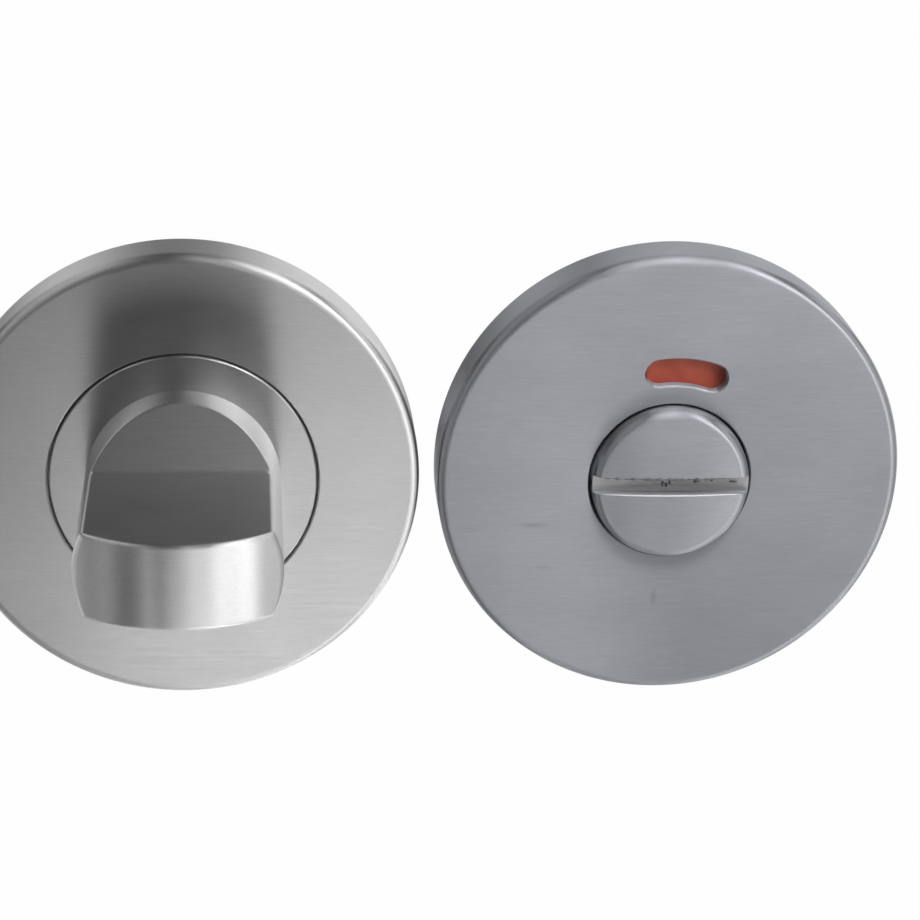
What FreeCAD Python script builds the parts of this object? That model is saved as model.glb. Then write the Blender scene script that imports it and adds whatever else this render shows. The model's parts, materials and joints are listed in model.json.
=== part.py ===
import FreeCAD, Part
import math
import os

import Sketcher

# Bathroom thumb turn lock: two round halves side by side, the thumb turn on the left and the coin
# release with its indicator on the right. The door face is the plane Y = 0, the fronts look along -Y,
# +Z is up, and the origin is on the turn's axis. Each half is modelled about its own Y axis and the
# release half is then placed beside the turn half. Clock angles run clockwise from the top, seen from
# the front.

doc = FreeCAD.newDocument("bathroom_thumb_turn_lock")
sheet = doc.addObject("Spreadsheet::Sheet", "Sizes")
sub_parts = []


class Size:
    # a number together with the sheet formula that gives it
    def __init__(self, value, text):
        self.value = value
        self.text = text

    def __add__(self, other):
        other = as_size(other)
        return Size(self.value + other.value, f"({self.text} + {other.text})")

    def __sub__(self, other):
        other = as_size(other)
        return Size(self.value - other.value, f"({self.text} - {other.text})")

    def __mul__(self, other):
        other = as_size(other)
        return Size(self.value * other.value, f"({self.text} * {other.text})")

    def __truediv__(self, other):
        other = as_size(other)
        return Size(self.value / other.value, f"({self.text} / {other.text})")

    def __neg__(self):
        return self * -1

    __radd__ = __add__
    __rmul__ = __mul__


def as_size(number):
    return number if isinstance(number, Size) else Size(number, f"({number})")


def sine(angle):
    return Size(math.sin(math.radians(angle.value)), f"sin({angle.text})")


def cosine(angle):
    return Size(math.cos(math.radians(angle.value)), f"cos({angle.text})")


def root(number):
    return Size(math.sqrt(number.value), f"sqrt({number.text})")


sizes = {
    # Rose covers and how the halves stand
    "rose_diameter": 52,
    "rose_depth": 6,
    "cover_wall": 1.2,
    "cover_edge_radius": 1.0,
    "pair_gap": 2,
    # Clearances shared by all fits
    "show_gap": 0.3,
    "running_gap": 0.05,
    "snug_gap": 0.02,
    "small_bevel": 0.25,
    # Base plates and bushes
    "plate_thickness": 3,
    "plate_rim_gap": 0.4,
    "rib_width": 3,
    "rib_setback": 0.5,
    "rib_count": 6,
    "boss_wall": 3,
    "boss_length": 5,
    "bush_wall": 2,
    "bush_flange_width": 3,
    "bush_flange_thickness": 0.6,
    # Hubs, spindle and what holds them
    "hub_diameter": 12,
    "spindle_width": 5,
    "spindle_reach": 46,
    "spindle_seat": 1.5,
    "grub_diameter": 4,
    "grub_wall": 0.45,
    "grub_key": 2,
    "grub_key_depth": 1.5,
    "spring_thickness": 0.5,
    "spring_rise": 0.4,
    "washer_width": 3.2,
    "washer_thickness": 0.6,
    "circlip_thickness": 1,
    "circlip_groove": 0.5,
    "circlip_width": 2,
    "circlip_offset": 0.25,
    "circlip_opening": 5.6,
    "circlip_lug": 2.6,
    "circlip_eye": 1.3,
    # Thumb turn
    "flange_diameter": 29.2,
    "knob_diameter": 21.4,
    "knob_length": 28,
    "step_height": 3.6,
    "ramp_length": 5.4,
    "blade_thickness": 9.4,
    "blade_root": 1,
    "tip_radius": 16,
    "knob_edge_radius": 0.5,
    "tip_edge_radius": 0.45,
    # Coin release
    "coin_diameter": 17.6,
    "coin_rise": 2.2,
    "coin_dome": 0.5,
    "coin_edge_radius": 1.1,
    "slot_width": 2,
    "slot_depth": 1.5,
    # Indicator and its window
    "window_radius": 12.8,
    "window_width": 3.1,
    "window_start_angle": -8,
    "window_sweep_angle": 27,
    "window_bevel": 0.18,
    "indicator_thickness": 0.8,
    "indicator_margin": 1.1,
    "field_thickness": 0.12,
    "field_sweep_angle": 80,
    "collar_width": 1.2,
    "collar_flat_depth": 0.96,
    # Stops
    "turn_angle": 90,
    "pin_diameter": 2,
    "pin_seat": 2,
    "turn_pin_angle": 120,
    "groove_depth": 1,
    "tab_angle": 225,
    "tab_length": 2.8,
    "tab_width": 3,
    # Bolts and posts
    "bolt_rim": 5.4,
    "bolt_diameter": 4,
    "bolt_length": 42,
    "bolt_neck": 4.4,
    "bolt_head": 7.6,
    "driver_slot": 1,
    "post_diameter": 7,
    "post_length": 13,
    "post_head": 9,
    "post_head_thickness": 0.9,
    "post_thread": 3.3,
}

for row, (alias, number) in enumerate(sizes.items(), 1):
    sheet.set(f"A{row}", alias)
    sheet.set(f"B{row}", str(number))
    sheet.setAlias(f"B{row}", alias)


class SheetSizes:
    # dim.alias gives a driving size
    def __getattr__(self, alias):
        return Size(float(sizes[alias]), f"Sizes.{alias}")


dim = SheetSizes()
doc.recompute()

# Radii and planes that several pieces share
zero = as_size(0)
front_face = -dim.rose_depth
cover_inside = front_face + dim.cover_wall
plate_front = -dim.plate_thickness
bush_front = plate_front - dim.bush_flange_thickness
turning_back = bush_front - dim.running_gap
rose_radius = dim.rose_diameter / 2
cover_bore = rose_radius - dim.cover_wall
plate_radius = cover_bore - dim.plate_rim_gap
hub_radius = dim.hub_diameter / 2
bush_bore = hub_radius + dim.running_gap
bush_radius = bush_bore + dim.bush_wall
bush_flange_radius = bush_radius + dim.bush_flange_width
boss_bore = bush_radius + dim.snug_gap
boss_radius = boss_bore + dim.boss_wall
flange_radius = dim.flange_diameter / 2
coin_radius = dim.coin_diameter / 2
bolt_circle = plate_radius - dim.bolt_rim
pin_radius = dim.pin_diameter / 2
release_axis = dim.rose_diameter + dim.pair_gap

# The stack behind the boss: spring, washer, circlip and the hub's end round the grub screw
spring_top = dim.boss_length + dim.spring_rise + dim.spring_thickness
washer_front = spring_top + dim.running_gap
washer_back = washer_front + dim.washer_thickness
circlip_back = washer_back + dim.circlip_thickness
groove_back = circlip_back + dim.running_gap
groove_radius = hub_radius - dim.circlip_groove
hub_reach = groove_back + dim.grub_diameter + dim.grub_wall * 2


def add_body(label, x=zero, y=zero, z=zero):
    body = doc.addObject("PartDesign::Body", label)
    body.Label = label
    for axis, place in zip("xyz", (x, y, z)):
        body.setExpression(f"Placement.Base.{axis}", place.text)
    sub_parts.append(body)
    return body


def add_sketch(body, plane_role, lift=zero):
    # lift moves the sketch along its plane's normal
    plane = next(part for part in body.Origin.OriginFeatures if part.Role == plane_role)
    sketch = body.newObject("Sketcher::SketchObject", f"{body.Label}_sketch")
    sketch.AttachmentSupport = [(plane, "")]
    sketch.MapMode = "FlatFace"
    sketch.setExpression("AttachmentOffset.Base.z", lift.text)
    return sketch


def face_sketch(body, depth):
    # a sketch across the axis, X to the right and Z up, at a depth along Y
    return add_sketch(body, "XZ_Plane", -depth)


def bind(sketch, constraint, size):
    index = sketch.addConstraint(constraint)
    sketch.setExpression(f"Constraints[{index}]", size.text)


def circle(sketch, x, y, radius):
    centre = FreeCAD.Vector(x.value, y.value, 0)
    geo = sketch.addGeometry(Part.Circle(centre, FreeCAD.Vector(0, 0, 1), radius.value))
    bind(sketch, Sketcher.Constraint("DistanceX", -1, 1, geo, 3, x.value), x)
    bind(sketch, Sketcher.Constraint("DistanceY", -1, 1, geo, 3, y.value), y)
    bind(sketch, Sketcher.Constraint("Radius", geo, radius.value), radius)


def arc_between(start, end, radius, bend):
    # the shorter arc from start to end: bend 1 runs counter-clockwise, -1 clockwise
    chord = end - start
    middle = (start + end) * 0.5
    left = FreeCAD.Vector(-chord.y, chord.x, 0).normalize()
    rise = math.sqrt(max(radius ** 2 - (chord.Length / 2) ** 2, 0))
    centre = middle + left * rise * bend
    first, last = (start, end) if bend > 0 else (end, start)
    begin = math.atan2(first.y - centre.y, first.x - centre.x)
    finish = math.atan2(last.y - centre.y, last.x - centre.x)
    ring = Part.Circle(centre, FreeCAD.Vector(0, 0, 1), radius)
    return Part.ArcOfCircle(ring, begin, finish)


def outline(sketch, corners):
    # A closed outline. Each corner is (x, y), or (x, y, radius, bend) where an arc leaves it.
    first = sketch.GeometryCount
    count = len(corners)
    points = [FreeCAD.Vector(as_size(c[0]).value, as_size(c[1]).value, 0) for c in corners]
    starts = []
    for index, corner in enumerate(corners):
        start = points[index]
        end = points[(index + 1) % count]
        if len(corner) == 4:
            sketch.addGeometry(arc_between(start, end, corner[2].value, corner[3]))
            starts.append(1 if corner[3] > 0 else 2)
        else:
            sketch.addGeometry(Part.LineSegment(start, end))
            starts.append(1)
    for index, corner in enumerate(corners):
        following = (index + 1) % count
        geo = first + index
        end_point = 3 - starts[index]
        sketch.addConstraint(
            Sketcher.Constraint("Coincident", geo, end_point, first + following, starts[following])
        )
        for kind, place in (("DistanceX", corner[0]), ("DistanceY", corner[1])):
            place = as_size(place)
            bind(sketch, Sketcher.Constraint(kind, -1, 1, geo, starts[index], place.value), place)
        if len(corner) == 4:
            bind(sketch, Sketcher.Constraint("Radius", geo, corner[2].value), corner[2])


def polar(radius, clock, along=zero):
    # a point at a clock angle, moved along the clockwise direction
    x = radius * sine(clock) + along * cosine(clock)
    y = radius * cosine(clock) - along * sine(clock)
    return x, y


def rectangle(sketch, left, right, low, high):
    outline(sketch, [(left, low), (right, low), (right, high), (left, high)])


def arc_slot(sketch, radius, width, start, sweep):
    # a round-ended slot along a circle
    half = width / 2
    end = start + sweep
    inner = radius - half
    outer = radius + half
    outline(
        sketch,
        [
            (*polar(inner, start), half, -1),
            (*polar(radius, start, -half), half, -1),
            (*polar(outer, start), outer, -1),
            (*polar(outer, end), half, -1),
            (*polar(radius, end, half), half, -1),
            (*polar(inner, end), inner, 1),
        ],
    )


def sector(sketch, inner, outer, middle, sweep):
    start = middle - sweep / 2
    end = middle + sweep / 2
    outline(
        sketch,
        [
            polar(inner, start),
            (*polar(outer, start), outer, -1),
            polar(outer, end),
            (*polar(inner, end), inner, 1),
        ],
    )


def revolve(body, profile, axis="V_Axis"):
    sketch = add_sketch(body, "XY_Plane")
    outline(sketch, profile)
    turned = body.newObject("PartDesign::Revolution", f"{body.Label}_turned")
    turned.Profile = sketch
    turned.ReferenceAxis = (sketch, [axis])
    turned.Angle = 360
    doc.recompute()


def pad(body, sketch, length, toward_back=False):
    raised = body.newObject("PartDesign::Pad", f"{body.Label}_pad")
    raised.Profile = sketch
    raised.setExpression("Length", length.text)
    raised.Reversed = toward_back
    doc.recompute()
    return raised


def pocket(body, sketch, depth=None, flip=False, both_sides=False):
    # with no depth the cut goes right through
    before = body.Shape.Volume
    cut = body.newObject("PartDesign::Pocket", f"{body.Label}_cut")
    cut.Profile = sketch
    cut.Reversed = flip
    if depth is None:
        cut.Type = "ThroughAll"
    else:
        cut.setExpression("Length", depth.text)
    if both_sides:
        cut.SideType = "Symmetric"
    doc.recompute()
    if not body.Shape.Volume < before:
        raise RuntimeError(f"{cut.Label} removes nothing from {body.Label}")


def dress(body, kind, property_name, size, edge_test):
    # rounds or bevels the edges that the test picks out of the finished form
    base = body.Tip
    names = [f"Edge{n}" for n, edge in enumerate(base.Shape.Edges, 1) if edge_test(edge)]
    worked = body.newObject(f"PartDesign::{kind}", f"{body.Label}_{kind.lower()}")
    worked.Base = (base, names)
    worked.setExpression(property_name, size.text)
    doc.recompute()


def lies_at(edge, depth):
    box = edge.BoundBox
    return abs(box.YMin - depth.value) < 1e-4 and abs(box.YMax - depth.value) < 1e-4


# Rose cover: a cup with a rounded front edge and a bevelled hole in its face
def add_cover(label, hole_radius, x):
    cover = add_body(label, x)
    revolve(
        cover,
        [
            (rose_radius, zero),
            (rose_radius, front_face + dim.cover_edge_radius, dim.cover_edge_radius, -1),
            (rose_radius - dim.cover_edge_radius, front_face),
            (hole_radius + dim.small_bevel, front_face),
            (hole_radius, front_face + dim.small_bevel),
            (hole_radius, cover_inside),
            (cover_bore, cover_inside),
            (cover_bore, zero),
        ],
    )
    return cover


# Base plate: a disc with a rear boss for the bush, and ribs that grip the cover
def add_base_plate(label, x):
    plate = add_body(label, x)
    revolve(
        plate,
        [
            (boss_bore, plate_front),
            (plate_radius, plate_front),
            (plate_radius, zero),
            (boss_radius, zero),
            (boss_radius, dim.boss_length - dim.small_bevel),
            (boss_radius - dim.small_bevel, dim.boss_length),
            (boss_bore, dim.boss_length),
        ],
    )
    ribs = face_sketch(plate, -dim.rib_setback)
    rib_radius = cover_bore - dim.snug_gap
    half = dim.rib_width / 2
    rib_root = plate_radius - dim.plate_rim_gap
    shoulder = root(rib_radius * rib_radius - half * half)
    outline(ribs, [(-half, rib_root), (-half, shoulder, rib_radius, -1), (half, shoulder), (half, rib_root)])
    rib = pad(plate, ribs, dim.plate_thickness - dim.rib_setback * 2)
    ring = plate.newObject("PartDesign::PolarPattern", f"{label}_ribs")
    ring.Originals = [rib]
    ring.Axis = (next(part for part in plate.Origin.OriginFeatures if part.Role == "Y_Axis"), [""])
    ring.Angle = 360
    ring.setExpression("Occurrences", dim.rib_count.text)
    plate.Tip = ring
    doc.recompute()
    return plate


def bolt_pair(sketch, radius):
    for side in (1, -1):
        circle(sketch, bolt_circle * side, zero, radius)


def add_bush(label, x):
    bush = add_body(label, x)
    revolve(
        bush,
        [
            (bush_bore, bush_front),
            (bush_flange_radius, bush_front),
            (bush_flange_radius, plate_front),
            (bush_radius, plate_front),
            (bush_radius, dim.boss_length),
            (bush_bore, dim.boss_length),
        ],
    )


def hub_profile(shoulder_radius):
    # the hub behind a turning head: journal, circlip groove and bevelled end, out to in
    return [
        (shoulder_radius, turning_back),
        (hub_radius, turning_back),
        (hub_radius, washer_back),
        (groove_radius, washer_back),
        (groove_radius, groove_back),
        (hub_radius, groove_back),
        (hub_radius, hub_reach - dim.small_bevel),
        (hub_radius - dim.small_bevel, hub_reach),
        (zero, hub_reach),
    ]


def cut_spindle_socket(body):
    half = dim.spindle_width / 2 + dim.running_gap
    socket = face_sketch(body, hub_reach)
    rectangle(socket, -half, half, -half, half)
    pocket(body, socket, hub_reach + dim.spindle_seat, flip=True)


# Disc spring, thrust washer and circlip behind a boss
def add_retainers(side, x):
    inner = hub_radius + dim.show_gap
    outer = hub_radius + dim.washer_width
    spring = add_body(f"{side}_spring_washer", x)
    revolve(
        spring,
        [
            (outer, dim.boss_length),
            (outer, dim.boss_length + dim.spring_thickness),
            (inner, spring_top),
            (inner, dim.boss_length + dim.spring_rise),
        ],
    )
    washer = add_body(f"{side}_washer", x)
    ring = hub_radius + dim.running_gap
    revolve(
        washer,
        [(ring, washer_front), (outer, washer_front), (outer, washer_back), (ring, washer_back)],
    )
    circlip = add_body(f"{side}_circlip", x)
    bore = groove_radius + dim.snug_gap
    gape = dim.circlip_opening / 2
    loop = face_sketch(circlip, washer_back)
    circle(loop, zero, zero, bore)
    circle(loop, zero, dim.circlip_offset, bore + dim.circlip_width)
    pad(circlip, loop, dim.circlip_thickness, toward_back=True)
    opening = face_sketch(circlip, washer_back)
    rectangle(opening, -gape, gape, -(bore + dim.circlip_width * 2), zero)
    pocket(circlip, opening, dim.circlip_thickness)
    lug_radius = dim.circlip_lug / 2
    lug_height = -(bore + lug_radius)
    lugs = face_sketch(circlip, washer_back)
    for place in (gape, -gape):
        circle(lugs, place, lug_height, lug_radius)
    pad(circlip, lugs, dim.circlip_thickness, toward_back=True)
    eyes = face_sketch(circlip, washer_back)
    for place in (gape, -gape):
        circle(eyes, place, lug_height, dim.circlip_eye / 2)
    pocket(circlip, eyes, dim.circlip_thickness)


def add_pin(label, x, z, front):
    pin = add_body(label, x, zero, z)
    back = plate_front + dim.pin_seat
    revolve(
        pin,
        [
            (zero, front),
            (pin_radius - dim.small_bevel, front),
            (pin_radius, front + dim.small_bevel),
            (pin_radius, back),
            (zero, back),
        ],
    )
    return pin


def cut_pin_seats(plate, places):
    seats = face_sketch(plate, plate_front)
    for x, z in places:
        circle(seats, x, z, pin_radius + dim.snug_gap)
    pocket(plate, seats, dim.pin_seat)


def group(label, bodies):
    # like pieces that share one node
    gathered = doc.addObject("Part::Compound", label)
    gathered.Label = label
    gathered.Links = bodies
    for body in bodies:
        sub_parts.remove(body)
    sub_parts.append(gathered)


# Turn half: cover, base plate and bush
add_cover("turn_cover", flange_radius + dim.show_gap, zero)

bolt_neck_radius = dim.bolt_neck / 2
head_radius = dim.bolt_head / 2
head_depth = head_radius - bolt_neck_radius
neck_hole = bolt_neck_radius + dim.running_gap
head_hole = head_radius + dim.running_gap

turn_plate = add_base_plate("turn_base_plate", zero)
bolt_marks = face_sketch(turn_plate, plate_front)
bolt_pair(bolt_marks, neck_hole)
doc.recompute()
countersink = turn_plate.newObject("PartDesign::Hole", "turn_base_plate_bolt_holes")
countersink.Profile = bolt_marks
countersink.DepthType = "ThroughAll"
countersink.setExpression("Diameter", (neck_hole * 2).text)
countersink.HoleCutType = "Countersink"
countersink.HoleCutCountersinkAngle = 90
countersink.setExpression("HoleCutDiameter", (head_hole * 2).text)
doc.recompute()

stop_radius = (bush_flange_radius + flange_radius) / 2
turn_pin_place = polar(stop_radius, dim.turn_pin_angle)
cut_pin_seats(turn_plate, [turn_pin_place])
add_bush("turn_bush", zero)

groove_floor = turning_back - dim.groove_depth
add_pin("turn_stop_pin", *turn_pin_place, groove_floor + dim.show_gap / 2)


# Fixing bolts: countersunk head and neck inside the plate, thread beyond the door face
def add_bolt(side):
    bolt = add_body(f"bolt_{side}", bolt_circle * side)
    thread = dim.bolt_diameter / 2
    revolve(
        bolt,
        [
            (zero, plate_front),
            (head_radius, plate_front),
            (bolt_neck_radius, plate_front + head_depth),
            (bolt_neck_radius, zero),
            (thread, zero),
            (thread, dim.bolt_length - dim.small_bevel * 2),
            (thread - dim.small_bevel * 2, dim.bolt_length),
            (zero, dim.bolt_length),
        ],
    )
    drive = face_sketch(bolt, plate_front)
    rectangle(drive, -head_radius, head_radius, -dim.driver_slot / 2, dim.driver_slot / 2)
    pocket(bolt, drive, dim.driver_slot)
    return bolt


group("turn_fixing_bolts", [add_bolt(side) for side in (1, -1)])

# Thumb turn: flange, round neck, flat blade with a barrel tip, and the hub, all one piece
knob = add_body("turn_knob")
knob_radius = dim.knob_diameter / 2
tip = front_face - dim.knob_length
step_face = front_face - dim.step_height
revolve(
    knob,
    [
        (zero, tip),
        (knob_radius, tip),
        (knob_radius, front_face),
        (flange_radius - dim.small_bevel, front_face),
        (flange_radius, front_face + dim.small_bevel),
        *hub_profile(flange_radius),
    ],
)

# The tip is a barrel about the upright axis
tip_side = knob_radius + dim.knob_edge_radius
tip_shoulder = tip + dim.tip_radius - root(dim.tip_radius * dim.tip_radius - tip_side * tip_side)
tip_clear = tip - dim.knob_edge_radius
barrel = add_sketch(knob, "XY_Plane")
outline(
    barrel,
    [
        (-tip_side, tip_clear),
        (tip_side, tip_clear),
        (tip_side, tip_shoulder, dim.tip_radius, -1),
        (zero, tip, dim.tip_radius, -1),
        (-tip_side, tip_shoulder),
    ],
)
pocket(knob, barrel, both_sides=True)

# Both faces of the blade, each running up a ramp to the neck, with a round root between
half_blade = dim.blade_thickness / 2
ramp_rise = knob_radius - half_blade
ramp_slant = root(dim.ramp_length * dim.ramp_length + ramp_rise * ramp_rise)
ramp_foot = step_face - dim.ramp_length
ramp_end = step_face + dim.knob_edge_radius * dim.ramp_length / ramp_rise
root_reach = dim.blade_root * ramp_rise / (ramp_slant + dim.ramp_length)
root_top = ramp_foot + root_reach * dim.ramp_length / ramp_slant
root_height = half_blade + root_reach * ramp_rise / ramp_slant
blade_sides = add_sketch(knob, "YZ_Plane")
for side in (1, -1):
    outline(
        blade_sides,
        [
            (tip_clear, half_blade * side),
            (ramp_foot - root_reach, half_blade * side, dim.blade_root, side),
            (root_top, root_height * side),
            (ramp_end, tip_side * side),
            (tip_clear, tip_side * side),
        ],
    )
pocket(knob, blade_sides, both_sides=True)


def is_tip_edge(edge):
    # the whole edge lies on the barrel
    centre = tip.value + dim.tip_radius.value
    reaches = [math.hypot(point.x, point.y - centre) for point in edge.discretize(5)]
    return all(abs(reach - dim.tip_radius.value) < 1e-3 for reach in reaches)


def is_blade_edge(edge):
    # the arch of each ramp and the long sides of the blade, without the seams across the blade
    box = edge.BoundBox
    ahead_of_neck = box.YMax < front_face.value - 1e-3
    across = box.YLength < 1e-4 and box.ZLength < 1e-4
    return ahead_of_neck and not across and not is_tip_edge(edge)


dress(knob, "Fillet", "Radius", dim.knob_edge_radius, is_blade_edge)
dress(knob, "Fillet", "Radius", dim.tip_edge_radius, is_tip_edge)

# Stop groove in the back of the flange, the spindle socket and the grub screw's hole
groove_width = dim.pin_diameter + dim.show_gap
stop_groove = face_sketch(knob, turning_back)
arc_slot(stop_groove, stop_radius, groove_width, dim.turn_pin_angle, dim.turn_angle)
pocket(knob, stop_groove, dim.groove_depth, flip=True)
cut_spindle_socket(knob)

grub_depth = (groove_back + hub_reach) / 2
grub_hole = add_sketch(knob, "YZ_Plane")
circle(grub_hole, grub_depth, zero, dim.grub_diameter / 2 + dim.snug_gap)
pocket(knob, grub_hole, hub_radius, flip=True)

grub = add_body("turn_grub_screw", zero, grub_depth, zero)
grub_radius = dim.grub_diameter / 2
grub_tip = dim.spindle_width / 2
revolve(
    grub,
    [
        (grub_tip, zero),
        (grub_tip, grub_radius / 2),
        (grub_tip + grub_radius / 2, grub_radius),
        (hub_radius - dim.small_bevel, grub_radius),
        (hub_radius - dim.small_bevel, zero),
    ],
    axis="H_Axis",
)
key_radius = dim.grub_key / root(as_size(3))
key_socket = add_sketch(grub, "YZ_Plane", hub_radius - dim.small_bevel)
outline(key_socket, [polar(key_radius, as_size(60 * corner)) for corner in range(6)])
pocket(grub, key_socket, dim.grub_key_depth)

spindle = add_body("turn_spindle")
half_bar = dim.spindle_width / 2
bar_section = face_sketch(spindle, dim.spindle_reach)
rectangle(bar_section, -half_bar, half_bar, -half_bar, half_bar)
pad(spindle, bar_section, dim.spindle_reach + dim.spindle_seat - dim.running_gap)
bar_ends = (dim.spindle_reach, dim.running_gap - dim.spindle_seat)
dress(spindle, "Chamfer", "Size", dim.small_bevel, lambda edge: any(lies_at(edge, end) for end in bar_ends))

add_retainers("turn", zero)

# Release half: cover with the indicator window
release_cover = add_cover("release_cover", coin_radius + dim.show_gap, release_axis)
window = face_sketch(release_cover, zero)
arc_slot(window, dim.window_radius, dim.window_width, dim.window_start_angle, dim.window_sweep_angle)
pocket(release_cover, window, flip=True)


def is_window_rim(edge):
    # the round edges of the face are centred on the axis, the window's are not
    centre = edge.BoundBox.Center
    return lies_at(edge, front_face) and math.hypot(centre.x, centre.z) > coin_radius.value / 2


dress(release_cover, "Chamfer", "Size", dim.window_bevel, is_window_rim)

# Base plate with counterbored holes for the posts
post_radius = dim.post_diameter / 2
release_plate = add_base_plate("release_base_plate", release_axis)
post_marks = face_sketch(release_plate, plate_front)
bolt_pair(post_marks, post_radius + dim.snug_gap)
doc.recompute()
counterbore = release_plate.newObject("PartDesign::Hole", "release_base_plate_post_holes")
counterbore.Profile = post_marks
counterbore.DepthType = "ThroughAll"
counterbore.setExpression("Diameter", ((post_radius + dim.snug_gap) * 2).text)
counterbore.HoleCutType = "Counterbore"
counterbore.setExpression("HoleCutDiameter", (dim.post_head + dim.snug_gap * 2).text)
counterbore.setExpression("HoleCutDepth", dim.post_head_thickness.text)
doc.recompute()
add_bush("release_bush", release_axis)


def add_post(side):
    post = add_body(f"post_{side}", release_axis + bolt_circle * side)
    bore = dim.post_thread / 2
    head_back = plate_front + dim.post_head_thickness
    revolve(
        post,
        [
            (zero, plate_front),
            (dim.post_head / 2, plate_front),
            (dim.post_head / 2, head_back),
            (post_radius, head_back),
            (post_radius, dim.post_length - dim.small_bevel),
            (post_radius - dim.small_bevel, dim.post_length),
            (bore, dim.post_length),
            (bore, zero),
            (zero, zero),
        ],
    )
    return post


group("release_posts", [add_post(side) for side in (1, -1)])

# Indicator plate, keyed on the disc's collar, with a tab that runs between two pins
indicator_back = turning_back
indicator_front = indicator_back - dim.indicator_thickness
indicator_radius = dim.window_radius + dim.window_width / 2 + dim.indicator_margin
collar_radius = hub_radius + dim.collar_width
collar_flat = collar_radius - dim.collar_flat_depth
key_gap_radius = collar_radius + dim.snug_gap
key_gap_flat = collar_flat + dim.snug_gap
key_height = root(key_gap_radius * key_gap_radius - key_gap_flat * key_gap_flat)

indicator = add_body("release_indicator", release_axis)
disc_face = face_sketch(indicator, indicator_back)
circle(disc_face, zero, zero, indicator_radius)
outline(
    disc_face,
    [
        (key_gap_flat, -key_height),
        (key_gap_flat, key_height, key_gap_radius, 1),
        (-key_gap_flat, key_height),
        (-key_gap_flat, -key_height, key_gap_radius, 1),
    ],
)
pad(indicator, disc_face, dim.indicator_thickness)
tab_face = face_sketch(indicator, indicator_back)
tab_root = indicator_radius - dim.tab_width / 2
tab_end = indicator_radius + dim.tab_length
half_tab = dim.tab_width / 2
outline(
    tab_face,
    [
        polar(tab_root, dim.tab_angle, -half_tab),
        polar(tab_end, dim.tab_angle, -half_tab),
        polar(tab_end, dim.tab_angle, half_tab),
        polar(tab_root, dim.tab_angle, half_tab),
    ],
)
pad(indicator, tab_face, dim.indicator_thickness)

# Colour fields on the indicator: red behind the window at rest, white a quarter turn behind it
window_middle = dim.window_start_angle + dim.window_sweep_angle / 2
field_inner = coin_radius + dim.indicator_margin
field_outer = indicator_radius - dim.small_bevel
for label, clock in (
    ("release_red_field", window_middle),
    ("release_white_field", window_middle - dim.turn_angle),
):
    field = add_body(label, release_axis)
    patch = face_sketch(field, indicator_front)
    sector(patch, field_inner, field_outer, clock, dim.field_sweep_angle)
    pad(field, patch, dim.field_thickness)

# Stop pins beside the tab's two end positions
stop_reach = tab_end - pin_radius
stop_offset = half_tab + pin_radius + dim.running_gap
tab_places = [
    polar(stop_reach, dim.tab_angle, -stop_offset),
    polar(stop_reach, dim.tab_angle + dim.turn_angle, stop_offset),
]
cut_pin_seats(release_plate, tab_places)
pin_front = cover_inside + dim.show_gap / 2
release_pins = [
    add_pin(f"pin_{number}", release_axis + x, z, pin_front)
    for number, (x, z) in enumerate(tab_places)
]
group("release_stop_pins", release_pins)

# Coin disc: domed head, collar for the indicator and the hub, all one piece
coin = add_body("release_disc", release_axis)
coin_crown = front_face - dim.coin_rise
coin_shoulder = coin_crown + dim.coin_dome
dome_reach = coin_radius - dim.coin_edge_radius
dome_radius = (dome_reach * dome_reach + dim.coin_dome * dim.coin_dome) / (dim.coin_dome * 2)
revolve(
    coin,
    [
        (zero, coin_crown, dome_radius, 1),
        (dome_reach, coin_shoulder, dim.coin_edge_radius, 1),
        (coin_radius, coin_shoulder + dim.coin_edge_radius),
        (coin_radius, indicator_front),
        (collar_radius, indicator_front),
        *hub_profile(collar_radius),
    ],
)
key_flats = add_sketch(coin, "XY_Plane")
for side in (1, -1):
    outline(
        key_flats,
        [
            (collar_flat * side, indicator_front),
            (coin_radius * side, indicator_front),
            (coin_radius * side, indicator_back),
            (collar_flat * side, indicator_back),
        ],
    )
pocket(coin, key_flats, both_sides=True)
coin_slot = add_sketch(coin, "YZ_Plane")
slot_floor = coin_crown + dim.slot_depth
rectangle(coin_slot, coin_crown - dim.coin_rise, slot_floor, -dim.slot_width / 2, dim.slot_width / 2)
pocket(coin, coin_slot, both_sides=True)
cut_spindle_socket(coin)

add_retainers("release", release_axis)

# Nothing is written unless every object computed and every piece is a sound solid
doc.recompute()
for item in doc.Objects:
    if "Invalid" in item.State or "Error" in item.State:
        raise RuntimeError(f"{item.Label} failed: {item.State}")
for piece in sub_parts:
    if piece.Shape.isNull() or not piece.Shape.isValid():
        raise RuntimeError(f"{piece.Label} has no sound shape")

os.makedirs("parts", exist_ok=True)
for piece in sub_parts:
    piece.Shape.exportStep(f"parts/{piece.Label}.step")
    print(piece.Label, len(piece.Shape.Solids), round(piece.Shape.Volume, 2))
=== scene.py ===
import json
import math

import bmesh
import bpy
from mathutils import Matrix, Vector, noise


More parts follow.
